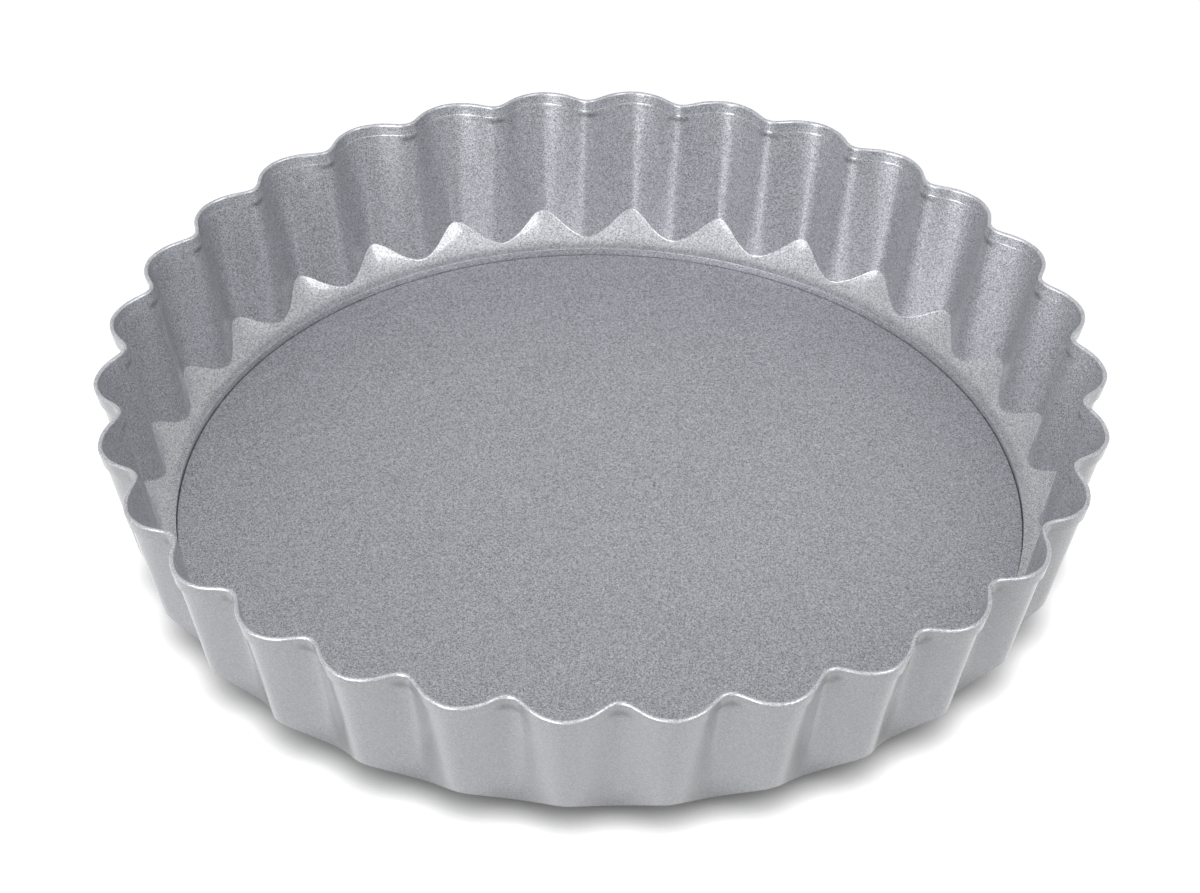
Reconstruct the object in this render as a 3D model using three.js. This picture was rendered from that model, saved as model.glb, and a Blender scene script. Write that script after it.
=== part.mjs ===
// Loose-bottom tart pan: a fluted ring pressed from one steel sheet, and the flat base that drops into it.
// Millimetres, +Z up. The origin is on the table, at the middle of the ring, and a flute peak lies on +X.
import * as THREE from "three";

// Overall sizes
const rimDiameter = 280; // over the outside of the flute peaks
const height = 49.3; // table to the top of the rim, in the flute valleys
const rimDip = 1.1; // how much lower the rim is on the flute peaks

// Sheet, and the hem folded from it along the rim
const sheet = 0.6;
const hemGap = 0.1; // between the two layers of the hem
const hemHeight = 4.6;

// Flutes
const fluteCount = 30;
const fluteDepthAtRim = 6.8;
const fluteDepthAtFoot = 5.3;
const rimHarmonics = [1, -0.15, 0.024, 0.01]; // broad peaks and tighter valleys along the rim
const footHarmonics = [1, 0.11, 0.025]; // tighter peaks and broad valleys at the wall's foot
const wallDraft = THREE.MathUtils.degToRad(12.6); // lean of the flute peaks

// Foot of the wall
const pocketSlope = THREE.MathUtils.degToRad(42); // floor of the pocket behind each flute peak
const valleyLedge = 1.1; // from the start of the pocket floors out to the flute valleys
const shelfHeight = 3.7; // table to the shelf between the pocket floors and the step
const shelfWidth = 2.2; // flat part of the shelf
const stepRadius = 0.8; // round from the shelf to the upright face of the step

// Seat and loose base
const seatWidth = 6.5; // how far the seat reaches in under the base
const baseClearance = 0.4; // between the edge of the base and the step
const baseThickness = 0.8;
const baseEdgeBreak = 0.2;

// Facets
const stepsPerFlute = 8;
const stepsOnStep = 3;
const stepsOnRim = 4;
const baseSegments = 120;

// Finish: silver-grey non-stick coating on both pieces
const ringFinish = { color: 0xa5a7ac, roughness: 0.42, metalness: 0.6 };
const baseFinish = { color: 0x9c9ea5, roughness: 0.5, metalness: 0.55 };

// Height of the seat that the base rests on, and the hem's sizes
const seatHeight = sheet;
const hemThickness = 2 * sheet + hemGap;
const peakTop = height - rimDip - hemThickness / 2; // where the round of the rim starts on a flute peak

// Inner face of the wall at a flute peak, then the shelf and the step, each from the one before
const hemRun = hemThickness / Math.cos(wallDraft);
const rimPeakRadius = rimDiameter / 2 - hemRun;
const footPeakRadius = rimPeakRadius - (peakTop - shelfHeight) * Math.tan(wallDraft);
const pocketRadius = footPeakRadius - fluteDepthAtFoot - valleyLedge;
const stepCentreRadius = pocketRadius - shelfWidth;
const seatRadius = stepCentreRadius - stepRadius;
const baseRadius = seatRadius - baseClearance;
const holeRadius = baseRadius - seatWidth;

const harmonicSum = (harmonics, phase) =>
  harmonics.reduce((sum, share, i) => sum + share * Math.cos((i + 1) * phase), 0);
const harmonicSlope = (harmonics, phase) =>
  harmonics.reduce((sum, share, i) => sum - share * (i + 1) * Math.sin((i + 1) * phase), 0);
const harmonicSpan = (harmonics) => harmonicSum(harmonics, 0) - harmonicSum(harmonics, Math.PI);

// How far the flute is drawn in at an angle round the ring: 0 on a peak, 1 in a valley.
function drawIn(harmonics, angle) {
  const fall = harmonicSum(harmonics, 0) - harmonicSum(harmonics, fluteCount * angle);
  return fall / harmonicSpan(harmonics);
}

// Radial thickness, for each millimetre of sheet, of the wall where its flank turns away from the radius.
function radialStretch(harmonics, depth, peakRadius, angle) {
  const turn = (fluteCount * harmonicSlope(harmonics, fluteCount * angle)) / harmonicSpan(harmonics);
  return Math.hypot(1, (depth * turn) / peakRadius) / Math.cos(wallDraft);
}

// Inner face of the wall at one angle: a straight line from the shelf's height up to the rim.
function wallLine(angle) {
  const low = footPeakRadius - fluteDepthAtFoot * drawIn(footHarmonics, angle);
  const high = rimPeakRadius - fluteDepthAtRim * drawIn(rimHarmonics, angle);
  const lean = (high - low) / (peakTop - shelfHeight);
  return { low, lean, radiusAt: (z) => low + lean * (z - shelfHeight) };
}

// Where the wall, set out by wallRun, meets the pocket floor, set out by floorRun.
function wallFoot(line, wallRun, floorRun) {
  const gap = line.low + wallRun - pocketRadius - floorRun;
  const rise = gap / (1 / Math.tan(pocketSlope) - line.lean);
  const z = shelfHeight + rise;
  return new THREE.Vector2(line.radiusAt(z) + wallRun, z);
}

// Points on the round of the step, from its upright face to the shelf.
function stepArc(radius) {
  const points = [];
  for (let i = 0; i <= stepsOnStep; i += 1) {
    const turn = (Math.PI / 2) * (i / stepsOnStep);
    const r = stepCentreRadius - radius * Math.cos(turn);
    points.push(new THREE.Vector2(r, shelfHeight - stepRadius + radius * Math.sin(turn)));
  }
  return points;
}

// Points over the rounded top of the rim, from its outer face to its inner face.
function rimArc(inner, outer, top) {
  const points = [];
  for (let i = 0; i <= stepsOnRim; i += 1) {
    const turn = (Math.PI * i) / stepsOnRim;
    const r = (inner + outer) / 2 + ((outer - inner) / 2) * Math.cos(turn);
    points.push(new THREE.Vector2(r, top + (hemThickness / 2) * Math.sin(turn)));
  }
  return points;
}

// The ring's section at one angle, from the underside of the seat out, up, over the rim and back inside.
function ringSection(angle) {
  const line = wallLine(angle);
  const wallRun = sheet * radialStretch(footHarmonics, fluteDepthAtFoot, footPeakRadius, angle);
  const rimStretch = radialStretch(rimHarmonics, fluteDepthAtRim, rimPeakRadius, angle);
  const rimRun = hemThickness * rimStretch;
  const top = peakTop + rimDip * drawIn(rimHarmonics, angle);
  const hemFoot = top + hemThickness / 2 - hemHeight;
  const floorRun = sheet / Math.sin(pocketSlope);
  const pocketUnder = pocketRadius + floorRun - sheet / Math.tan(pocketSlope);
  return [
    new THREE.Vector2(holeRadius, 0),
    new THREE.Vector2(seatRadius + sheet, 0),
    ...stepArc(stepRadius - sheet),
    new THREE.Vector2(pocketUnder, shelfHeight - sheet),
    wallFoot(line, wallRun, floorRun),
    new THREE.Vector2(line.radiusAt(hemFoot) + sheet * rimStretch, hemFoot),
    new THREE.Vector2(line.radiusAt(hemFoot) + rimRun, hemFoot),
    ...rimArc(line.radiusAt(top), line.radiusAt(top) + rimRun, top),
    wallFoot(line, 0, 0),
    new THREE.Vector2(pocketRadius, shelfHeight),
    ...stepArc(stepRadius).reverse(),
    new THREE.Vector2(seatRadius, seatHeight),
    new THREE.Vector2(holeRadius, seatHeight),
  ];
}

// A lathe whose closed section changes with the angle.
function fluteLathe(sectionAt, segments) {
  const first = sectionAt(0);
  const geometry = new THREE.LatheGeometry([...first, first[0]], segments);
  const position = geometry.getAttribute("position");
  const rows = first.length + 1;
  for (let column = 0; column <= segments; column += 1) {
    const angle = ((column % segments) * 2 * Math.PI) / segments;
    const section = sectionAt(angle);
    for (let row = 0; row < rows; row += 1) {
      const { x: r, y: z } = section[row % first.length];
      position.setXYZ(column * rows + row, r * Math.cos(angle), r * Math.sin(angle), z);
    }
  }
  geometry.computeVertexNormals();
  return geometry;
}

function makeFlutedRing() {
  const geometry = fluteLathe(ringSection, fluteCount * stepsPerFlute);
  const ring = new THREE.Mesh(geometry, new THREE.MeshStandardMaterial(ringFinish));
  ring.name = "fluted_ring";
  return ring;
}

function makeLooseBase() {
  const profile = [
    new THREE.Vector2(0, 0),
    new THREE.Vector2(baseRadius - baseEdgeBreak, 0),
    new THREE.Vector2(baseRadius, baseEdgeBreak),
    new THREE.Vector2(baseRadius, baseThickness - baseEdgeBreak),
    new THREE.Vector2(baseRadius - baseEdgeBreak, baseThickness),
    new THREE.Vector2(0, baseThickness),
  ];
  const geometry = new THREE.LatheGeometry(profile, baseSegments).rotateX(Math.PI / 2);
  const base = new THREE.Mesh(geometry, new THREE.MeshStandardMaterial(baseFinish));
  base.name = "loose_base";
  base.position.z = seatHeight;
  return base;
}

const pan = new THREE.Group();
pan.add(makeFlutedRing(), makeLooseBase());

export default pan;
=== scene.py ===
"""Looks of a loose-bottom tart pan: its fluted ring, its loose base and a pale studio stage, in metres."""

import math
from typing import NamedTuple

import bmesh
import bpy
from mathutils import Matrix, Vector


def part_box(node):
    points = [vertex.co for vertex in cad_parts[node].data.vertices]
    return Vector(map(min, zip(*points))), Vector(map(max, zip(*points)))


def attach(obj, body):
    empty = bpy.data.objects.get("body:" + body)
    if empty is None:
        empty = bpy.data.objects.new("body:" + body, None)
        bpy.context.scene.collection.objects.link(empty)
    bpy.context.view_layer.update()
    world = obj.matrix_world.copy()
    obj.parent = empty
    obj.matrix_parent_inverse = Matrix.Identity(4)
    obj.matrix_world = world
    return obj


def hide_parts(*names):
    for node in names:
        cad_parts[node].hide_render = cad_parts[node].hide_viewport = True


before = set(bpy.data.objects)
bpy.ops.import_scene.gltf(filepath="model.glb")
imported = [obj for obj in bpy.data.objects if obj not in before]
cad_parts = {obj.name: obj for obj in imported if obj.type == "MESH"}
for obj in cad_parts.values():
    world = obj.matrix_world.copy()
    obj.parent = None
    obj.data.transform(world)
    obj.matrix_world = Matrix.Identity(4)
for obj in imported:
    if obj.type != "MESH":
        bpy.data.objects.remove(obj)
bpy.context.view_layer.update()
ring_low, ring_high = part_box("fluted_ring")
base_low, base_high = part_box("loose_base")

bl_info = {
    "name": "Loose-Bottom Tart Pan",
    "version": (1, 0, 0),
    "blender": (4, 5, 0),
    "location": "3D View > Sidebar > Tart Pan",
    "description": "Makes a fluted tart ring, its loose base and a studio stage",
    "category": "Object",
}

MM = 0.001
QUARTER_TURN = math.pi / 2
WHITE = (1.0, 1.0, 1.0, 1.0)

# How much wider the disc is than in the CAD, so that its gap looks as fine as in the photo
DISC_EXTRA = 0.4 * MM


# Settings


def length(name, description, default):
    """A size in metres."""
    return bpy.props.FloatProperty(
        name=name, description=description, default=default, unit="LENGTH", subtype="DISTANCE", precision=5
    )


def angle(name, description, degrees):
    """An angle, given in degrees."""
    return bpy.props.FloatProperty(
        name=name, description=description, default=math.radians(degrees), unit="ROTATION", subtype="ANGLE"
    )


def angles(name, description, degrees):
    """Three angles, given in degrees."""
    return bpy.props.FloatVectorProperty(
        name=name, description=description, default=[math.radians(x) for x in degrees], size=3,
        unit="ROTATION", subtype="EULER"
    )


def count(name, description, default, lowest):
    """A whole number."""
    return bpy.props.IntProperty(name=name, description=description, default=default, min=lowest)


def share(name, description, default, lowest=0.0, highest=1.0):
    """A plain number between two limits."""
    return bpy.props.FloatProperty(
        name=name, description=description, default=default, min=lowest, max=highest
    )


def wave(name, description, default):
    """How much of a finer wave is in the flutes' curve."""
    return share(name, description, default, -0.5, 0.5)


def tint(name, description, default):
    """A linear colour."""
    return bpy.props.FloatVectorProperty(
        name=name, description=description, default=default, size=3, subtype="COLOR", min=0.0, max=1.0
    )


def watts(name, description, default):
    """A lamp's power."""
    return bpy.props.FloatProperty(name=name, description=description, default=default, min=0.0, unit="POWER")


class FlutedRingSizes(bpy.types.PropertyGroup):
    """Sizes of the pressed ring."""

    rim_diameter: length("Rim diameter", "Over the outside of the flute peaks", ring_high.x - ring_low.x)
    height: length("Height", "Table to the top of the rim, in the flute valleys", ring_high.z)
    rim_dip: length("Rim dip", "How much lower the rim is on the flute peaks", 1.1 * MM)
    sheet: length("Sheet", "Thickness of the steel sheet", base_low.z)
    hem_gap: length("Hem gap", "Between the two layers of the hem", 0.1 * MM)
    hem_height: length("Hem height", "Width of the fold along the rim", 4.6 * MM)
    hem_print: length("Hem print", "How far the fold shows through on the inner face", 0.05 * MM)
    flutes: count("Flutes", "Number of flutes round the ring", 30, 6)
    columns: count("Columns", "Mesh columns in one flute", 28, 8)
    crowding: share("Crowding", "How much closer the columns stand in the valleys", 0.2, 0.0, 0.8)
    rim_second: wave("Rim, second wave", "Share of the wave at twice the flutes, at the rim", -0.15)
    rim_third: wave("Rim, third wave", "Share of the wave at three times the flutes, at the rim", 0.024)
    rim_fourth: wave("Rim, fourth wave", "Share of the wave at four times the flutes, at the rim", 0.01)
    foot_second: wave("Foot, second wave", "Share of the wave at twice the flutes, at the foot", 0.11)
    foot_third: wave("Foot, third wave", "Share of the wave at three times the flutes, at the foot", 0.025)
    depth_at_rim: length("Depth at rim", "Flute depth at the rim", 6.8 * MM)
    depth_at_foot: length("Depth at foot", "Flute depth at the foot of the wall", 5.3 * MM)
    draft: angle("Draft", "Lean of the flute peaks", 12.6)
    pocket_slope: angle("Pocket slope", "Floor of the pocket behind each flute peak", 42.0)
    pocket_corner: length("Pocket corner", "Radius in the corner at the back of a pocket", 1.0 * MM)
    valley_corner: length("Valley corner", "Radius at the foot of a flute valley", 1.2 * MM)
    pocket_bend: angles("Pocket bend", "Slopes of a pocket floor: start, knee and end", (2.0, 38.0, 52.0))
    valley_bend: angles("Valley bend", "The same slopes in front of a flute valley", (2.0, 20.0, 36.0))
    valley_ledge: length("Valley ledge", "From the start of the pocket floors out to the valleys", 1.1 * MM)
    shelf_height: length("Shelf height", "Table to the shelf between the pockets and the step", 3.7 * MM)
    shelf_width: length("Shelf width", "From the pocket floors in to the round of the step", 2.85 * MM)
    shelf_flat: length("Shelf flat", "Flat part of the shelf", 0.95 * MM)
    step_radius: length("Step radius", "Round from the shelf to the upright face of the step", 0.15 * MM)
    seat_bend: length("Seat bend", "Radius between the seat and the step", 0.25 * MM)
    seat_width: length("Seat width", "Flat seat under the edge of the base", 6.9 * MM)
    crease: length("Crease", "Depth of the pinch under the hem in each valley", 0.3 * MM)


class LooseBaseSizes(bpy.types.PropertyGroup):
    """Sizes of the disc that drops into the ring."""

    diameter: length("Diameter", "Across the disc", base_high.x - base_low.x + DISC_EXTRA)
    underside: length("Underside", "Height of the underside above the table", base_low.z)
    thickness: length("Thickness", "Thickness of the disc", base_high.z - base_low.z)
    edge_round: length("Edge round", "Radius along both edges", 0.15 * MM)
    spokes: count("Spokes", "Mesh columns round the disc", 192, 24)


class CoatingLooks(bpy.types.PropertyGroup):
    """The silver-grey flake coating."""

    ring_colour: tint("Ring colour", "Flakes of the ring's coating", (0.43, 0.437, 0.466))
    base_colour: tint("Base colour", "Flakes of the base's coating", (0.438, 0.446, 0.482))
    ring_flake: length("Ring flake", "Size of one flake on the ring", 0.19 * MM)
    base_flake: length("Base flake", "Size of one flake on the base", 0.2 * MM)
    flake_tilt: share("Flake tilt", "How far a flake leans off the surface", 0.12)
    flake_shade: share("Flake shade", "How far the flakes' shades differ", 1.35, 0.0, 2.0)
    outer_shade: share("Outer shade", "How far they differ on the ring's outer face", 0.6, 0.0, 2.0)
    outer_level: share("Outer level", "How bright the ring's outer face is against its inner face", 0.6)
    ring_roughness: share("Ring roughness", "Spread of the gloss of the ring's flakes", 0.4)
    base_roughness: share("Base roughness", "Spread of the gloss of the base's flakes", 0.5)
    metal: share("Metal", "How metallic the flakes look", 0.55)
    # Strength of the painted light: the highlight painted on the rim's top, and the shade painted in the
    # creases
    painted_light_strength: share("Rub", "How much brighter the coating is where the rim is rubbed", 0.5)
    ring_gloss: share("Ring gloss", "Weight of the clear skin over the ring's flakes", 1.0)
    base_gloss: share("Base gloss", "Weight of the clear skin over the base's flakes", 0.1)
    gloss_spread: share("Gloss spread", "Roughness of the clear skin", 0.1)
    gloss_index: share("Gloss index", "Refractive index of the clear skin", 1.7, 1.0, 2.5)


class StageLooks(bpy.types.PropertyGroup):
    """Floor, lamps and camera."""

    floor_size: length("Floor size", "Across the floor", 8.0)
    floor_colour: tint("Floor colour", "Pale studio floor", (0.95, 0.95, 0.95))
    bounce_colour: tint("Bounce colour", "Floor as it throws light on the pan", (0.6, 0.6, 0.6))
    front_glow: share("Front glow", "The floor's own light in front of the pan", 0.6, 0.0, 2.0)
    back_glow: share("Back glow", "The floor's own light behind the pan", 0.8, 0.0, 2.0)
    far_glow: share("Far glow", "The floor's own light far from the pan", 1.1, 0.0, 2.0)
    # Reach of the contact shadow painted into the floor's colour close under the pan
    nook: length("Nook", "How far the pan dims the floor close to it", 9.0 * MM)
    left_power: watts("Left lamp", "Power of the lamp on the left", 4.8)
    low_power: watts("Low lamp", "Power of the low lamp in front, on the left", 11.4)
    right_power: watts("Right lamp", "Power of the lamp on the right", 5.6)
    top_power: watts("Top lamp", "Power of the broad lamp overhead", 2.2)
    lamp_distance: length("Lamp distance", "From the middle of the pan to each lamp", 1.4)
    room_light: share("Room light", "Level of the light from all round", 0.03, 0.0, 2.0)
    camera_turn: angle("Camera turn", "Where the camera stands, round the pan from +X", -92.436)
    camera_rise: angle("Camera rise", "How far the camera looks down", 39.252)
    camera_roll: angle("Camera roll", "Turn of the picture", 0.934)
    camera_distance: length("Camera distance", "From the aim to the camera", 1.1891)
    camera_lens: bpy.props.FloatProperty(
        name="Camera lens", description="Focal length", default=123.61, unit="CAMERA"
    )
    camera_aim: bpy.props.FloatVectorProperty(
        name="Camera aim", description="Point in the middle of the picture", default=(0.0009, 0.02849, 0.0),
        size=3, subtype="TRANSLATION", unit="LENGTH"
    )


# Node helpers


def put(tree, kind, *values, **settings):
    """Adds a node, then links or fills its shown inputs in order. None leaves an input as it is."""
    node = tree.nodes.new(kind)
    for name, value in settings.items():
        setattr(node, name, value)
    shown = [socket for socket in node.inputs if socket.enabled]
    for socket, value in zip(shown, values):
        if isinstance(value, bpy.types.NodeSocket):
            tree.links.new(value, socket)
        elif value is not None:
            socket.default_value = value
    return node


def out(node, name=None):
    """A shown output of a node: the one of this name, or the first."""
    shown = [socket for socket in node.outputs if socket.enabled]
    return next(socket for socket in shown if name in (None, socket.name))


def sums(tree, operation, *values):
    """One Math node."""
    return out(put(tree, "ShaderNodeMath", *values, operation=operation))


def vectors(tree, operation, *values):
    """One Vector Math node."""
    return out(put(tree, "ShaderNodeVectorMath", *values, operation=operation))


def scaled(tree, vector, factor):
    """A vector times a number."""
    node = put(tree, "ShaderNodeVectorMath", vector, operation="SCALE")
    socket = node.inputs["Scale"]
    if isinstance(factor, bpy.types.NodeSocket):
        tree.links.new(factor, socket)
    else:
        socket.default_value = factor
    return out(node)


def mixed(tree, factor, low, high):
    """A number carried from low to high by a factor."""
    return out(put(tree, "ShaderNodeMix", factor, low, high, data_type="FLOAT"))


def eased(tree, value, start, end, low=0.0, high=1.0):
    """A value carried from start..end to low..high, with soft ends."""
    node = put(tree, "ShaderNodeMapRange", value, start, end, low, high, interpolation_type="SMOOTHSTEP")
    return out(node)


def noise(tree, place, scale, detail, roughness):
    """A cloudy pattern of numbers round 0.5."""
    return out(put(tree, "ShaderNodeTexNoise", place, scale, detail, roughness))


def swung(tree, pattern, reach, middle, swing):
    """A pattern that lies within reach of 0.5, carried to within a swing of a middle level."""
    node = put(
        tree, "ShaderNodeMapRange", pattern, 0.5 - reach, 0.5 + reach, middle - swing, middle + swing
    )
    return out(node)


def attribute(tree, name):
    """A piece's own attribute, in a material."""
    return out(put(tree, "ShaderNodeAttribute", attribute_name=name), "Fac")


def seen_or_mirrored(tree):
    """1 for rays from the camera, and for those that gloss or glass sends on."""
    rays = tree.nodes.new("ShaderNodeLightPath").outputs
    sent_on = sums(tree, "MAXIMUM", rays["Is Glossy Ray"], rays["Is Transmission Ray"])
    return sums(tree, "MAXIMUM", rays["Is Camera Ray"], sent_on)


# Section of the fluted ring, in a plane of radius and height

# Mesh rows along each stretch of the section
FLAT_STEPS = 2
SEAT_BEND_STEPS = 4
STEP_STEPS = 6
COVE_STEPS = 5
BOW_STEPS = 4
CORNER_STEPS = 6
LOWER_WALL_STEPS = 6
RIM_STEPS = 10

# Mesh rows on the upper wall, in millimetres below the rim's top, closest at the hem's foot and its print
UPPER_WALL_ROWS = (
    9.0, 7.2, 6.0, 5.5, 5.2, 4.95, 4.75, 4.55, 4.35, 4.1, 3.8, 3.55, 3.4, 3.3, 3.2, 3.05, 2.6, 2.0, 1.3
)

# Where the fold and its creases show, up from the hem's foot, and where shade is painted in the creases: a
# dash inside and a streak outside
FOLD_START, FOLD_END = -0.35 * MM, 0.2 * MM
PINCH_SPREAD = 0.5 * MM
DASH_SPREAD = 0.8 * MM
STREAK_MIDDLE, STREAK_SPREAD = 0.6 * MM, 1.7 * MM

# Where the fold's print starts and ends on the inner face, down from the rim's top
PRINT_FOOT_START, PRINT_FOOT_END = 3.45 * MM, 3.15 * MM
PRINT_HEAD_START, PRINT_HEAD_END = 1.4 * MM, 0.6 * MM

# Shares of the crease's depth: the pinch on each face, and the hem's swelling above it
INNER_PINCH = 0.15
OUTER_PINCH = 1.3
HEM_SWELL = 0.5

# Bevel along the edge of the hole in the seat
HOLE_BEVEL = 0.12 * MM


def heading_left(heading):
    """Unit vector to the left of a heading."""
    return Vector((-math.sin(heading), math.cos(heading)))


def heading_on(heading):
    """Unit vector along a heading."""
    return Vector((math.cos(heading), math.sin(heading)))


def bend(centre, radius, start, end, steps):
    """Rows along an arc, as (point, heading). It turns left where the end is the larger heading."""
    side = 1.0 if end > start else -1.0
    rows = []
    for i in range(steps + 1):
        heading = start + (end - start) * i / steps
        rows.append((centre - side * radius * heading_left(heading), heading))
    return rows


def corner_bend(corner, radius, start, end, steps):
    """Rows round a corner between two headings, for a left turn."""
    reach = radius * math.tan((end - start) / 2)
    centre = corner - reach * heading_on(start) + radius * heading_left(start)
    return bend(centre, radius, start, end, steps)


def bend_run(start, end):
    """How far an arc of radius 1 goes between two headings, for a left turn."""
    return Vector((math.sin(end) - math.sin(start), math.cos(start) - math.cos(end)))


def between(first, last, steps):
    """Rows strictly between two rows of a straight run."""
    (a, heading), (b, _) = first, last
    return [(a.lerp(b, i / steps), heading) for i in range(1, steps)]


def smooth(value, start, end):
    """0 before start, 1 after end, and soft between."""
    t = min(max((value - start) / (end - start), 0.0), 1.0)
    return t * t * (3 - 2 * t)


def bell(offset, spread):
    """1 at no offset, and softly less on both sides."""
    return math.exp(-((offset / spread) ** 2))


class RingLines:
    """Key radii and heights of the ring's section, each from the one before."""

    def __init__(self, sizes):
        self.hem = 2 * sizes.sheet + sizes.hem_gap
        self.top = sizes.height - sizes.rim_dip - self.hem / 2
        self.rim_peak = sizes.rim_diameter / 2 - self.hem / math.cos(sizes.draft)
        self.foot_peak = self.rim_peak - (self.top - sizes.shelf_height) * math.tan(sizes.draft)
        self.pocket = self.foot_peak - sizes.depth_at_foot - sizes.valley_ledge
        self.step = self.pocket - sizes.shelf_width - sizes.step_radius
        self.hole = self.step - sizes.seat_width


class WallLine:
    """The wall's straight inner face where a flute is drawn in: 0 on a peak, 1 in a valley."""

    def __init__(self, sizes, lines, drawn_in):
        self.foot_height = sizes.shelf_height
        self.low = lines.foot_peak - sizes.depth_at_foot * drawn_in
        high = lines.rim_peak - sizes.depth_at_rim * drawn_in
        self.lean = (high - self.low) / (lines.top - self.foot_height)
        self.up = math.atan2(1.0, self.lean)
        self.crest = sizes.height - sizes.rim_dip * (1 - drawn_in)

    def at(self, z):
        """The point of the wall at a height."""
        return Vector((self.low + self.lean * (z - self.foot_height), z))


class SectionRow(NamedTuple):
    """A point of the section, and the numbers that shape and shade it when it is swept."""

    point: Vector
    wall_run: float = 0.0  # radial run out from the wall's inner face
    crease_push: float = 0.0  # push out, or in, in a valley
    wall_rise: float = 0.0  # 0 at the wall's foot, 1 at the rim
    painted_crease_shade: float = 0.0  # how much shade is painted in a valley
    painted_light: float = 0.0  # 1 where a highlight is painted on the rim's top
    outer_face: float = 0.0  # 1 on the ring's outer face


SECTION_NUMBERS = SectionRow._fields[1:]
# Attributes that are only needed while the ring is swept
SHAPING_LAYERS = (
    "turn", "peak_point", "valley_point", "wall_run", "crease_push", "wall_rise", "painted_crease_shade"
)


def seat_rows(sizes, lines, shelf_slope):
    """Rows of the inner face along the seat, up the step and over the shelf."""
    seat = (Vector((lines.hole + HOLE_BEVEL, sizes.sheet)), 0.0)
    step_foot = Vector((lines.step, sizes.sheet))
    inner_bend = corner_bend(step_foot, sizes.seat_bend, 0.0, QUARTER_TURN, SEAT_BEND_STEPS)
    step_centre = Vector((lines.step + sizes.step_radius, sizes.shelf_height - sizes.step_radius))
    step = bend(step_centre, sizes.step_radius, QUARTER_TURN, shelf_slope, STEP_STEPS)
    shelf_end = (step[-1][0] + sizes.shelf_flat * heading_on(shelf_slope), shelf_slope)
    flat = between(seat, inner_bend[0], FLAT_STEPS)
    upright = between(inner_bend[-1], step[0], FLAT_STEPS)
    return [seat, *flat, *inner_bend, *upright, *step, shelf_end]


def pocket_rows(sizes, lines, wall, start, slopes, corner_round):
    """Rows on from the shelf's end: a pocket floor of two arcs, and the corner into the wall."""
    crown, knee, end = slopes
    rise = (wall.low - lines.pocket) / (1 / math.tan(sizes.pocket_slope) - wall.lean)
    corner = wall.at(sizes.shelf_height + rise)
    into_wall = corner_bend(corner, corner_round, end, wall.up, CORNER_STEPS)
    run = into_wall[0][0] - start
    first, second = bend_run(crown, knee), bend_run(knee, end)
    cove = run.cross(second) / first.cross(second)
    bow = first.cross(run) / first.cross(second)
    if min(cove, bow) <= 0.0:
        raise ValueError(f"a pocket floor can't bend through these slopes: radii {cove}, {bow}")
    lower = bend(start + cove * heading_left(crown), cove, crown, knee, COVE_STEPS)[1:]
    upper = bend(lower[-1][0] + bow * heading_left(knee), bow, knee, end, BOW_STEPS)[1:-1]
    return lower + upper + into_wall


def wall_rows(lines, wall, foot_z):
    """Rows up the wall's inner face, from the corner's end to the rim."""
    hem_z = wall.crest - UPPER_WALL_ROWS[0] * MM
    heights = [foot_z + (hem_z - foot_z) * i / LOWER_WALL_STEPS for i in range(1, LOWER_WALL_STEPS)]
    heights += [wall.crest - below * MM for below in UPPER_WALL_ROWS]
    heights.append(wall.crest - lines.hem / 2 * (1 - math.cos(wall.up)))
    return [(wall.at(z), wall.up) for z in heights]


def floor_faces(sizes, rows):
    """Both faces of the sheet below the wall. The outer one has every other row, and none that turns back."""
    inner = [SectionRow(point) for point, _ in rows]
    outer = []
    for point, heading in rows[::2]:
        far = point - sizes.sheet * heading_left(heading)
        if not outer or (far - outer[-1].point).dot(heading_on(heading)) > 0.0:
            outer.append(SectionRow(far, outer_face=1.0))
    return inner, outer


def wall_faces(sizes, lines, wall, rows, foot_z):
    """Both faces of the wall, with the hem, its print on the inner face and the creases at its foot."""
    inner, outer = [], []
    for point, heading in rows:
        above_hem_foot = point.y - (wall.crest - sizes.hem_height)
        below_crest = wall.crest - point.y
        rise = min((point.y - foot_z) / (wall.crest - lines.hem - foot_z), 1.0)
        fold = smooth(above_hem_foot, FOLD_START, FOLD_END)
        pinch = bell(above_hem_foot, PINCH_SPREAD)
        # Shade painted under the hem in the valleys: a dash on the inner face, a streak on the outer one
        painted_dash = bell(above_hem_foot, DASH_SPREAD)
        painted_streak = bell(above_hem_foot - STREAK_MIDDLE, STREAK_SPREAD)
        printed = smooth(below_crest, PRINT_FOOT_START, PRINT_FOOT_END)
        printed *= 1 - smooth(below_crest, PRINT_HEAD_START, PRINT_HEAD_END)

        out_of_wall = -heading_left(heading)
        near = point + sizes.hem_print * printed * out_of_wall
        far = point + (sizes.sheet + (lines.hem - sizes.sheet) * fold) * out_of_wall
        inner_push = sizes.crease * INNER_PINCH * pinch
        outer_push = sizes.crease * (HEM_SWELL * fold - OUTER_PINCH * pinch)
        inner.append(SectionRow(near, 0.0, inner_push, rise, painted_dash))
        outer.append(SectionRow(far, far.x - point.x, outer_push, rise, painted_streak, outer_face=1.0))
    return inner, outer


def rim_rows(lines, end, up):
    """The round of the rim, from the end of the inner face over to the outer one."""
    rows = []
    centre = end - lines.hem / 2 * heading_left(up)
    for point, heading in bend(centre, lines.hem / 2, up, up - math.pi, RIM_STEPS)[1:-1]:
        # A highlight is painted on the rim's round, strongest where it faces up
        painted_light_strength = math.sqrt(heading_left(heading).y)
        rows.append(SectionRow(point, point.x - end.x, wall_rise=1.0, painted_light=painted_light_strength, outer_face=0.5))
    return rows


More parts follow.
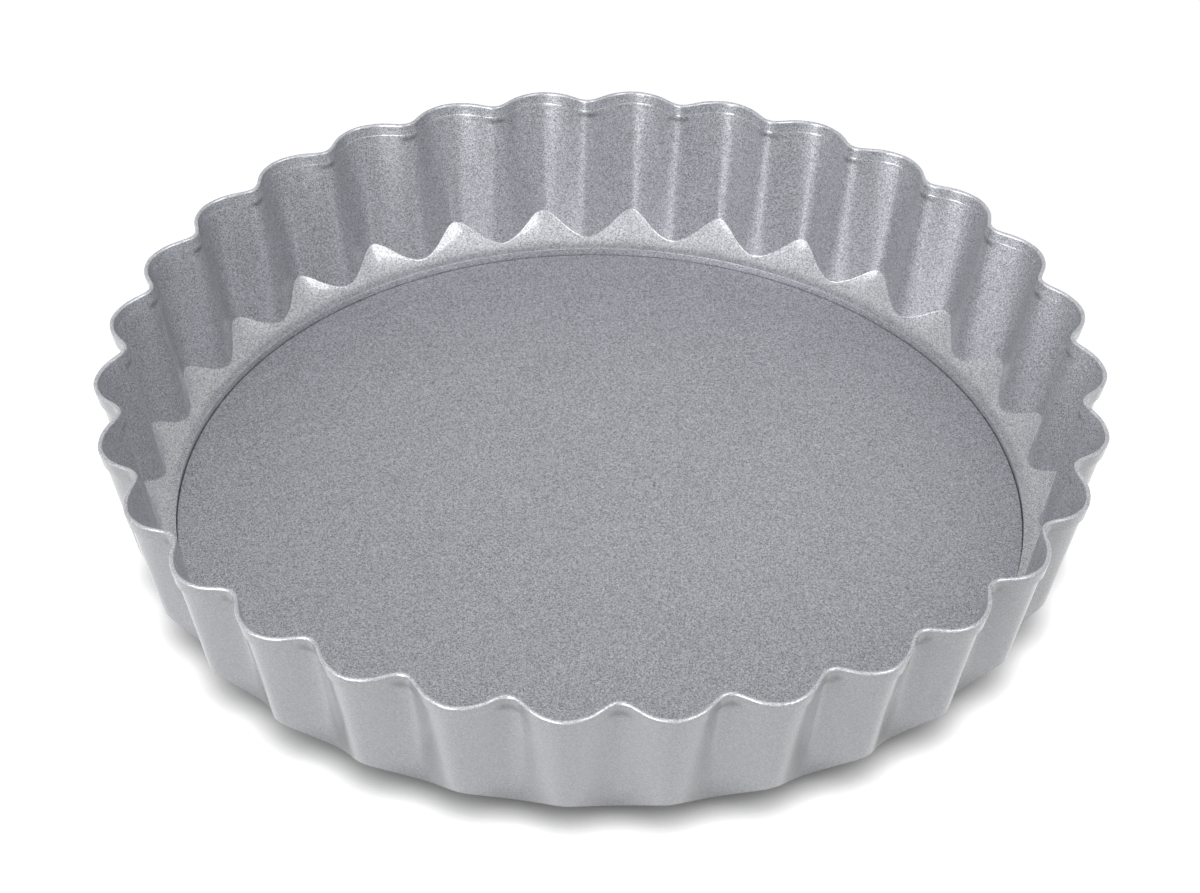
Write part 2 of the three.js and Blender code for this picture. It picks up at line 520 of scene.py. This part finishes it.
def closed_section(sizes, drawn_in):
    """The ring's whole section where a flute is drawn in, from the seat up inside, over the rim and back."""
    lines = RingLines(sizes)
    wall = WallLine(sizes, lines, drawn_in)
    slopes = Vector(sizes.pocket_bend).lerp(Vector(sizes.valley_bend), drawn_in)
    corner_round = sizes.pocket_corner + (sizes.valley_corner - sizes.pocket_corner) * drawn_in
    floor = seat_rows(sizes, lines, slopes[0])
    floor += pocket_rows(sizes, lines, wall, floor[-1][0], slopes, corner_round)
    foot_z = floor[-1][0].y
    upright = wall_rows(lines, wall, foot_z)

    floor_inner, floor_outer = floor_faces(sizes, floor)
    wall_inner, wall_outer = wall_faces(sizes, lines, wall, upright, foot_z)
    rim = rim_rows(lines, *upright[-1])
    hole_heights = (HOLE_BEVEL, sizes.sheet - HOLE_BEVEL)
    hole = [SectionRow(Vector((lines.hole, z)), outer_face=1.0) for z in hole_heights]
    return floor_inner + wall_inner + rim + wall_outer[::-1] + floor_outer[::-1] + hole


def ring_section_mesh(sizes):
    """The section on a flute peak, as a closed loop. Attributes hold what shapes it between the peaks."""
    peak = closed_section(sizes, 0.0)
    valley = closed_section(sizes, 1.0)
    last = len(peak) - 1
    mesh = bpy.data.meshes.new("ring_section")
    points = [(row.point.x, 0.0, row.point.y) for row in peak]
    edges = [(i, i + 1) for i in range(last)] + [(last, 0)]
    mesh.from_pydata(points, edges, [])
    layer = mesh.attributes.new("valley_point", "FLOAT_VECTOR", "POINT")
    layer.data.foreach_set("vector", [x for row in valley for x in (row.point.x, 0.0, row.point.y)])
    for place, name in enumerate(SECTION_NUMBERS, start=1):
        layer = mesh.attributes.new(name, "FLOAT", "POINT")
        layer.data.foreach_set("value", [(a[place] + b[place]) / 2 for a, b in zip(peak, valley)])
    return mesh


# Node tree that sweeps the section round the flutes

RIM_WAVES = ("Rim Second Wave", "Rim Third Wave", "Rim Fourth Wave")
FOOT_WAVES = ("Foot Second Wave", "Foot Third Wave")

# How far a flute is drawn in where its crease and its painted dark dash start, and how dark that painted
# shade is
CREASE_START = 0.93
DASH_START = 0.75
PAINTED_DASH_SHADE = 1.1


def named(tree, name, kind="FLOAT"):
    """An attribute by its name."""
    node = put(tree, "GeometryNodeInputNamedAttribute", name, data_type=kind)
    return out(node, "Attribute")


def stored(tree, shape, name, value, kind="FLOAT"):
    """A shape with a value kept on its points, as an attribute."""
    node = put(
        tree, "GeometryNodeStoreNamedAttribute", shape, None, name, value, data_type=kind, domain="POINT"
    )
    return out(node)


def flute_wave(tree, phase, shares):
    """How far a sum of waves draws a flute in at a phase, 0 on a peak and 1 in a valley, and its slope."""
    fall, slope, span = 0.0, 0.0, 0.0
    for order, part in enumerate([1.0, *shares], start=1):
        at = sums(tree, "MULTIPLY", phase, float(order))
        drop = sums(tree, "SUBTRACT", 1.0, sums(tree, "COSINE", at))
        fall = sums(tree, "MULTIPLY_ADD", drop, part, fall)
        steepness = sums(tree, "MULTIPLY", sums(tree, "SINE", at), float(order))
        slope = sums(tree, "MULTIPLY_ADD", steepness, part, slope)
        # A wave of even order is as high in a valley as on a peak, so only odd ones add to the span
        if order % 2:
            span = sums(tree, "MULTIPLY_ADD", part, 2.0, span)
    return sums(tree, "DIVIDE", fall, span), sums(tree, "DIVIDE", slope, span)


def name_sweep_sockets(tree):
    """Names the inputs and the output of the sweep."""
    face = tree.interface
    face.new_socket("Section", in_out="INPUT", socket_type="NodeSocketGeometry")
    face.new_socket("Flutes", in_out="INPUT", socket_type="NodeSocketInt")
    face.new_socket("Columns", in_out="INPUT", socket_type="NodeSocketInt")
    for name in ("Crowding", *RIM_WAVES, *FOOT_WAVES, "Flank Depth", "Flank Radius"):
        face.new_socket(name, in_out="INPUT", socket_type="NodeSocketFloat")
    face.new_socket("Coating", in_out="INPUT", socket_type="NodeSocketMaterial")
    face.new_socket("Ring", in_out="OUTPUT", socket_type="NodeSocketGeometry")


def swept_section(tree, given):
    """The section swept round a circle. Each point keeps its turn, and its place in the section."""
    position = out(tree.nodes.new("GeometryNodeInputPosition"))
    kept = stored(tree, given["Section"], "peak_point", position, "FLOAT_VECTOR")
    section = put(tree, "GeometryNodeMeshToCurve", kept)

    columns = sums(tree, "MULTIPLY", given["Flutes"], given["Columns"])
    circle = put(tree, "GeometryNodeCurvePrimitiveCircle", columns)
    index = out(tree.nodes.new("GeometryNodeInputIndex"))
    even = sums(tree, "MULTIPLY", sums(tree, "DIVIDE", index, columns), math.tau)
    crowd = sums(tree, "SINE", sums(tree, "MULTIPLY", even, given["Flutes"]))
    shift = sums(tree, "MULTIPLY", crowd, sums(tree, "DIVIDE", given["Crowding"], given["Flutes"]))
    turned = stored(tree, out(circle), "turn", sums(tree, "ADD", even, shift))
    return out(put(tree, "GeometryNodeCurveToMesh", turned, out(section)))


def flute_sweep_tree():
    """Sweeps a section round a circle and draws it in between the flute peaks by a sum of waves."""
    tree = bpy.data.node_groups.new("flute_sweep", "GeometryNodeTree")
    name_sweep_sockets(tree)
    given = tree.nodes.new("NodeGroupInput").outputs
    swept = swept_section(tree, given)

    turn = named(tree, "turn")
    phase = sums(tree, "MULTIPLY", turn, given["Flutes"])
    rim_in, rim_slope = flute_wave(tree, phase, [given[name] for name in RIM_WAVES])
    foot_in, foot_slope = flute_wave(tree, phase, [given[name] for name in FOOT_WAVES])
    rise = named(tree, "wall_rise")
    drawn_in = mixed(tree, rise, foot_in, rim_in)

    flank = sums(tree, "MULTIPLY", mixed(tree, rise, foot_slope, rim_slope), given["Flutes"])
    steepness = sums(tree, "DIVIDE", given["Flank Depth"], given["Flank Radius"])
    flank = sums(tree, "MULTIPLY", flank, steepness)
    stretch = sums(tree, "SQRT", sums(tree, "MULTIPLY_ADD", flank, flank, 1.0))
    spread = sums(tree, "MULTIPLY", named(tree, "wall_run"), sums(tree, "SUBTRACT", stretch, 1.0))

    peak_point = named(tree, "peak_point", "FLOAT_VECTOR")
    inward = vectors(tree, "SUBTRACT", named(tree, "valley_point", "FLOAT_VECTOR"), peak_point)
    point = vectors(tree, "ADD", peak_point, scaled(tree, inward, drawn_in))
    creased = eased(tree, drawn_in, CREASE_START, 1.0)
    crease = sums(tree, "MULTIPLY", named(tree, "crease_push"), creased)
    # The painted shade of the dash, strongest in the valleys
    dashed = eased(tree, drawn_in, DASH_START, 1.0, 0.0, PAINTED_DASH_SHADE)
    painted_dash = sums(tree, "MULTIPLY", named(tree, "painted_crease_shade"), dashed)

    parts = put(tree, "ShaderNodeSeparateXYZ", point)
    radius = sums(tree, "ADD", sums(tree, "ADD", out(parts, "X"), spread), crease)
    place = put(
        tree, "ShaderNodeCombineXYZ",
        sums(tree, "MULTIPLY", radius, sums(tree, "COSINE", turn)),
        sums(tree, "MULTIPLY", radius, sums(tree, "SINE", turn)),
        out(parts, "Z")
    )
    placed = put(tree, "GeometryNodeSetPosition", swept, None, out(place))
    # Painted light on the ring: the rim's painted highlight, less the shade painted in the creases
    highlit = stored(tree, out(placed), "painted_light", sums(tree, "SUBTRACT", named(tree, "painted_light"), painted_dash))
    shaded = put(tree, "GeometryNodeSetShadeSmooth", highlit)
    real = put(tree, "GeometryNodeRealizeInstances", out(shaded))
    coated = put(tree, "GeometryNodeSetMaterial", out(real), None, given["Coating"])
    put(tree, "NodeGroupOutput", out(coated))
    return tree


# Meshes and objects

# Mesh rings on the flat faces of the base, as shares of its radius
DISC_RINGS = (0.04, 0.1, 0.2, 0.34, 0.48, 0.62, 0.76, 0.88, 0.96)
DISC_EDGE_STEPS = 4


def set_inputs(modifier, tree, values):
    """Sets a Geometry Nodes modifier's inputs by their sockets' identifiers."""
    sockets = {item.name: item for item in tree.interface.items_tree if item.in_out == "INPUT"}
    for name, value in values.items():
        modifier[sockets[name].identifier] = value


def plain_mesh(obj, name):
    """The evaluated object as a plain mesh, with the attributes that only shaped it left out."""
    shown = obj.evaluated_get(bpy.context.evaluated_depsgraph_get())
    mesh = bpy.data.meshes.new_from_object(shown)
    mesh.name = name
    for layer in SHAPING_LAYERS:
        if layer in mesh.attributes:
            mesh.attributes.remove(mesh.attributes[layer])
    return mesh


def disc_profile(sizes):
    """Points of the base's outline, as (radius, height), from the middle below to the middle on top."""
    edge, top = sizes.diameter / 2, sizes.underside + sizes.thickness
    r = sizes.edge_round
    radii = [edge * part for part in DISC_RINGS] + [edge - 2 * r]
    under_centre = Vector((edge - r, sizes.underside + r))
    under = bend(under_centre, r, 0.0, QUARTER_TURN, DISC_EDGE_STEPS)
    over = bend(Vector((edge - r, top - r)), r, QUARTER_TURN, math.pi, DISC_EDGE_STEPS)
    lower = [(x, sizes.underside) for x in radii]
    upper = [(x, top) for x in reversed(radii)]
    return lower + [(point.x, point.y) for point, _ in under + over] + upper


def turned_mesh(name, profile, spokes):
    """A closed solid turned from a profile of (radius, height), with a fan of faces at both ends."""
    shape = bmesh.new()
    turns = [math.tau * i / spokes for i in range(spokes)]
    rings = []
    for radius, z in profile:
        rings.append([shape.verts.new((radius * math.cos(t), radius * math.sin(t), z)) for t in turns])
    for a, b in zip(rings, rings[1:]):
        for i in range(spokes):
            shape.faces.new((a[i - 1], a[i], b[i], b[i - 1]))
    for ring in (rings[0][::-1], rings[-1]):
        middle = shape.verts.new((0.0, 0.0, ring[0].co.z))
        for i in range(spokes):
            shape.faces.new((ring[i - 1], ring[i], middle))
    for face in shape.faces:
        face.smooth = True
    mesh = bpy.data.meshes.new(name)
    shape.to_mesh(mesh)
    shape.free()
    return mesh


def check_closed(obj):
    """Stops the script if a mesh is open or its faces point inwards."""
    shape = bmesh.new()
    shape.from_mesh(obj.data)
    loose = [edge for edge in shape.edges if len(edge.link_faces) != 2]
    volume = shape.calc_volume(signed=True)
    shape.free()
    if loose or volume <= 0:
        raise RuntimeError(f"{obj.name}: {len(loose)} open edges, volume {volume}")


def show(name, mesh):
    """Links a mesh to the scene as an object at the origin."""
    obj = bpy.data.objects.new(name, mesh)
    bpy.context.scene.collection.objects.link(obj)
    return obj


# Finishes

# Patterns in the coating: scale, detail and roughness. The first two scales are for a flake of 1 metre
SPECKLE_SCALE, SPECKLE_DETAIL, SPECKLE_ROUGHNESS = 0.35, 2.0, 0.5
PEEL_SCALE, PEEL_DETAIL, PEEL_ROUGHNESS = 0.6, 1.0, 0.5
CLOUD_SCALE, CLOUD_DETAIL, CLOUD_ROUGHNESS = 30.0, 3.0, 0.55

# How far a pattern strays from 0.5, and how far it swings the coating's shade, roughness and surface
SPECKLE_REACH = 0.25
CLOUD_REACH = 0.2
SHADE_SWING = 0.015
ROUGHNESS_SWING = 0.02
PEEL_STRENGTH = 0.2
PEEL_DEPTH = 0.05 * MM

# How much smoother the coating is where a highlight is painted on the rim, and rougher where shade is painted
# in the creases
PAINTED_LIGHT_POLISH = 0.1

# Where the floor's own light grows: along Y from the front to the back of the pan, and away from its middle
GLOW_FRONT, GLOW_BACK = -0.14, 0.02
GLOW_NEAR, GLOW_FAR = 0.22, 0.9


def flake_coating(name, colour, flake, roughness, gloss, looks, pressed=False):
    """Silver-grey coating: leaning flakes of many shades under a clear skin, with faint clouds.

    On the pressed ring, painted_light is 1 where a highlight is painted on the rim's top and below 0 where
    shade is painted in the creases, and outer_face is 1 outside.
    """
    material = bpy.data.materials.new(name)
    material.use_nodes = True
    tree = material.node_tree
    shader = tree.nodes["Principled BSDF"]
    place = out(tree.nodes.new("ShaderNodeTexCoord"), "Object")
    cells = out(put(tree, "ShaderNodeTexVoronoi", place, 1.0 / flake), "Color")

    swing = looks.flake_shade
    if pressed:
        outside = attribute(tree, "outer_face")
        swing = mixed(tree, outside, swing, looks.outer_shade)
    shade = out(put(tree, "ShaderNodeSeparateColor", cells), "Red")
    grain = sums(tree, "MULTIPLY_ADD", sums(tree, "SUBTRACT", shade, 0.5), swing, 1.0)
    speckle = noise(tree, place, SPECKLE_SCALE / flake, SPECKLE_DETAIL, SPECKLE_ROUGHNESS)
    speckled = swung(tree, speckle, SPECKLE_REACH, 1.0, SHADE_SWING)
    cloud = noise(tree, place, CLOUD_SCALE, CLOUD_DETAIL, CLOUD_ROUGHNESS)
    clouded = swung(tree, cloud, CLOUD_REACH, 1.0, SHADE_SWING)
    level = sums(tree, "MULTIPLY", sums(tree, "MULTIPLY", grain, speckled), clouded)
    rough = swung(tree, cloud, CLOUD_REACH, roughness, ROUGHNESS_SWING)
    if pressed:
        # Painted light: the coating is lighter where a highlight is painted on the rim, darker where shade is
        # painted in the creases
        painted_light_strength = attribute(tree, "painted_light")
        level = sums(tree, "MULTIPLY_ADD", sums(tree, "MULTIPLY", painted_light_strength, looks.painted_light_strength), level, level)
        level = sums(tree, "MULTIPLY", level, mixed(tree, outside, 1.0, looks.outer_level))
        rough = sums(tree, "MULTIPLY_ADD", painted_light_strength, -PAINTED_LIGHT_POLISH, rough)
    tree.links.new(scaled(tree, (*colour,), level), shader.inputs["Base Color"])
    tree.links.new(rough, shader.inputs["Roughness"])

    lean = vectors(tree, "SUBTRACT", cells, (0.5, 0.5, 0.5))
    normal = out(tree.nodes.new("ShaderNodeNewGeometry"), "Normal")
    leaning = vectors(tree, "ADD", normal, scaled(tree, lean, looks.flake_tilt))
    bump = tree.nodes.new("ShaderNodeBump")
    bump.inputs["Strength"].default_value = PEEL_STRENGTH
    bump.inputs["Distance"].default_value = PEEL_DEPTH
    peel = noise(tree, place, PEEL_SCALE / flake, PEEL_DETAIL, PEEL_ROUGHNESS)
    tree.links.new(peel, bump.inputs["Height"])
    tree.links.new(vectors(tree, "NORMALIZE", leaning), bump.inputs["Normal"])
    tree.links.new(out(bump), shader.inputs["Normal"])

    shader.inputs["Metallic"].default_value = looks.metal
    shader.inputs["Coat Weight"].default_value = gloss
    shader.inputs["Coat Roughness"].default_value = looks.gloss_spread
    shader.inputs["Coat IOR"].default_value = looks.gloss_index
    return material


def studio_floor(looks):
    """Pale floor that looks white to the camera and in gloss, and keeps the pan's shadow.

    The lamps and some light of its own make it white, with more of its own behind the pan and farther away.
    Its colour, and so its own light, is darkened close under the pan as a painted contact shadow. It is
    duller where it throws light on the pan, and clear from below.
    """
    material = bpy.data.materials.new("studio_floor")
    material.use_nodes = True
    tree = material.node_tree
    tree.nodes.remove(tree.nodes["Principled BSDF"])
    # The floor's colour is darkened close under the pan: a painted contact shadow
    pale = out(put(tree, "ShaderNodeAmbientOcclusion", (*looks.floor_colour, 1.0), looks.nook), "Color")
    place = out(tree.nodes.new("ShaderNodeTexCoord"), "Object")
    along = out(put(tree, "ShaderNodeSeparateXYZ", place), "Y")
    behind = eased(tree, along, GLOW_FRONT, GLOW_BACK, looks.front_glow, looks.back_glow)
    reach = out(put(tree, "ShaderNodeVectorMath", place, operation="LENGTH"), "Value")
    level = sums(tree, "MAXIMUM", behind, eased(tree, reach, GLOW_NEAR, GLOW_FAR, 0.0, looks.far_glow))
    lamplit = put(tree, "ShaderNodeBsdfDiffuse", pale)
    glow = put(tree, "ShaderNodeEmission", pale, level)
    white = put(tree, "ShaderNodeAddShader", out(lamplit), out(glow))
    dull = put(tree, "ShaderNodeBsdfDiffuse", (*looks.bounce_colour, 1.0))
    lit = put(tree, "ShaderNodeMixShader", seen_or_mirrored(tree), out(dull), out(white))
    clear = tree.nodes.new("ShaderNodeBsdfTransparent")
    below = tree.nodes.new("ShaderNodeNewGeometry").outputs["Backfacing"]
    shown = put(tree, "ShaderNodeMixShader", below, out(lit), out(clear))
    tree.links.new(out(shown), tree.nodes["Material Output"].inputs["Surface"])
    return material


# Stage

SENSOR_WIDTH = 36.0
CLIP_START = 0.05


def toward(turn, rise):
    """Unit vector at a turn round the pan from +X and a rise above the floor."""
    return Vector((math.cos(rise) * math.cos(turn), math.cos(rise) * math.sin(turn), math.sin(rise)))


def lay_floor(context, looks):
    """The floor that the pan stands on."""
    bpy.ops.mesh.primitive_plane_add(size=looks.floor_size, location=(0.0, 0.0, 0.0))
    floor = context.active_object
    floor.name = "studio_floor"
    floor.data.materials.append(studio_floor(looks))


def light_room(scene, looks):
    """A dim room that looks white to the camera and in gloss."""
    world = bpy.data.worlds.new("studio_room")
    scene.world = world
    world.use_nodes = True
    tree = world.node_tree
    room = tree.nodes["Background"]
    room.inputs["Color"].default_value = WHITE
    room.inputs["Strength"].default_value = looks.room_light
    backdrop = put(tree, "ShaderNodeBackground", WHITE, 1.0)
    shown = put(tree, "ShaderNodeMixShader", seen_or_mirrored(tree), out(room), out(backdrop))
    tree.links.new(out(shown), tree.nodes["World Output"].inputs["Surface"])


def soft_lamp(scene, name, power, width, height, place):
    """A lamp behind a flat screen that faces the pan."""
    lamp = bpy.data.lights.new(name, "AREA")
    lamp.energy = power
    lamp.shape = "RECTANGLE"
    lamp.size = width
    lamp.size_y = height
    obj = bpy.data.objects.new(name, lamp)
    obj.location = place
    obj.rotation_mode = "QUATERNION"
    obj.rotation_quaternion = (-place).to_track_quat("-Z", "Y")
    scene.collection.objects.link(obj)


def set_lamps(scene, looks):
    """The soft lamps, each with the size of its screen, and its turn and rise in degrees."""
    for name, power, width, height, turn, rise in (
        ("left_lamp", looks.left_power, 0.7, 0.75, -142.0, 30.0),
        ("low_lamp", looks.low_power, 0.6, 0.6, -119.0, 14.0),
        ("right_lamp", looks.right_power, 0.7, 0.7, -40.0, 40.0),
        ("top_lamp", looks.top_power, 1.4, 1.4, -90.0, 82.0),
    ):
        way = toward(math.radians(turn), math.radians(rise))
        soft_lamp(scene, name, power, width, height, looks.lamp_distance * way)


def set_camera(scene, looks):
    """The camera, at the photo's viewing angle."""
    back = toward(looks.camera_turn, looks.camera_rise)
    right = Vector((-math.sin(looks.camera_turn), math.cos(looks.camera_turn), 0.0))
    up = back.cross(right)
    c, s = math.cos(looks.camera_roll), math.sin(looks.camera_roll)
    right, up = c * right + s * up, c * up - s * right
    camera = bpy.data.cameras.new("photo_camera")
    camera.sensor_width = SENSOR_WIDTH
    camera.lens = looks.camera_lens
    camera.clip_start = CLIP_START
    holder = bpy.data.objects.new("photo_camera", camera)
    place = Matrix.Translation(Vector(looks.camera_aim) + looks.camera_distance * back)
    holder.matrix_world = place @ Matrix((right, up, back)).transposed().to_4x4()
    scene.collection.objects.link(holder)
    scene.camera = holder


# Operators and panel


class TARTPAN_OT_fluted_ring(bpy.types.Operator):
    """Make the fluted ring with its folded rim, pockets, step and seat"""

    bl_idname = "tart_pan.fluted_ring"
    bl_label = "Fluted Ring"

    def execute(self, context):
        sizes, looks = context.scene.tart_ring, context.scene.tart_coating
        coating = flake_coating(
            "ring_coating", looks.ring_colour, looks.ring_flake, looks.ring_roughness, looks.ring_gloss,
            looks, pressed=True
        )
        sketch = show("ring_sketch", ring_section_mesh(sizes))
        tree = flute_sweep_tree()
        modifier = sketch.modifiers.new("flute_sweep", "NODES")
        modifier.node_group = tree
        set_inputs(modifier, tree, {
            "Flutes": sizes.flutes,
            "Columns": sizes.columns,
            "Crowding": sizes.crowding,
            **dict(zip(RIM_WAVES, (sizes.rim_second, sizes.rim_third, sizes.rim_fourth))),
            **dict(zip(FOOT_WAVES, (sizes.foot_second, sizes.foot_third))),
            "Flank Depth": sizes.depth_at_foot,
            "Flank Radius": RingLines(sizes).foot_peak,
            "Coating": coating,
        })
        ring = show("fluted_ring_pressed", plain_mesh(sketch, "fluted_ring_pressed"))
        sketch.modifiers.remove(modifier)
        bpy.data.objects.remove(sketch)
        check_closed(ring)
        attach(ring, "ring")
        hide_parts("fluted_ring")
        return {"FINISHED"}


class TARTPAN_OT_loose_base(bpy.types.Operator):
    """Make the flat disc that rests on the ring's seat"""

    bl_idname = "tart_pan.loose_base"
    bl_label = "Loose Base"

    def execute(self, context):
        sizes, looks = context.scene.tart_base, context.scene.tart_coating
        coating = flake_coating(
            "base_coating", looks.base_colour, looks.base_flake, looks.base_roughness, looks.base_gloss,
            looks
        )
        mesh = turned_mesh("loose_base_disc", disc_profile(sizes), sizes.spokes)
        mesh.materials.append(coating)
        base = show("loose_base_disc", mesh)
        check_closed(base)
        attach(base, "base")
        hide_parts("loose_base")
        return {"FINISHED"}


class TARTPAN_OT_studio_stage(bpy.types.Operator):
    """Set the pale floor, the soft lamps and the camera"""

    bl_idname = "tart_pan.studio_stage"
    bl_label = "Studio Stage"

    def execute(self, context):
        scene, looks = context.scene, context.scene.tart_stage
        scene.view_settings.view_transform = "Standard"
        lay_floor(context, looks)
        light_room(scene, looks)
        set_lamps(scene, looks)
        set_camera(scene, looks)
        return {"FINISHED"}


class TARTPAN_PT_sidebar(bpy.types.Panel):
    """Lists the pan's pieces and the stage"""

    bl_label = "Tart Pan"
    bl_space_type = "VIEW_3D"
    bl_region_type = "UI"
    bl_category = "Tart Pan"

    def draw(self, context):
        layout = self.layout
        for operator, settings in (
            (TARTPAN_OT_fluted_ring, context.scene.tart_ring),
            (TARTPAN_OT_loose_base, context.scene.tart_base),
            (TARTPAN_OT_studio_stage, context.scene.tart_stage),
        ):
            box = layout.box()
            box.operator(operator.bl_idname)
            for name in settings.__annotations__:
                box.prop(settings, name)
        box = layout.box()
        for name in CoatingLooks.__annotations__:
            box.prop(context.scene.tart_coating, name)


CLASSES = (
    FlutedRingSizes, LooseBaseSizes, CoatingLooks, StageLooks,
    TARTPAN_OT_fluted_ring, TARTPAN_OT_loose_base, TARTPAN_OT_studio_stage, TARTPAN_PT_sidebar,
)
SETTINGS = {
    "tart_ring": FlutedRingSizes, "tart_base": LooseBaseSizes,
    "tart_coating": CoatingLooks, "tart_stage": StageLooks,
}


def register():
    for cls in CLASSES:
        bpy.utils.register_class(cls)
    for name, group in SETTINGS.items():
        setattr(bpy.types.Scene, name, bpy.props.PointerProperty(type=group))


def unregister():
    for name in SETTINGS:
        delattr(bpy.types.Scene, name)
    for cls in reversed(CLASSES):
        bpy.utils.unregister_class(cls)


def main():
    register()
    bpy.ops.tart_pan.fluted_ring()
    bpy.ops.tart_pan.loose_base()
    bpy.ops.tart_pan.studio_stage()


if __name__ == "__main__":
    main()
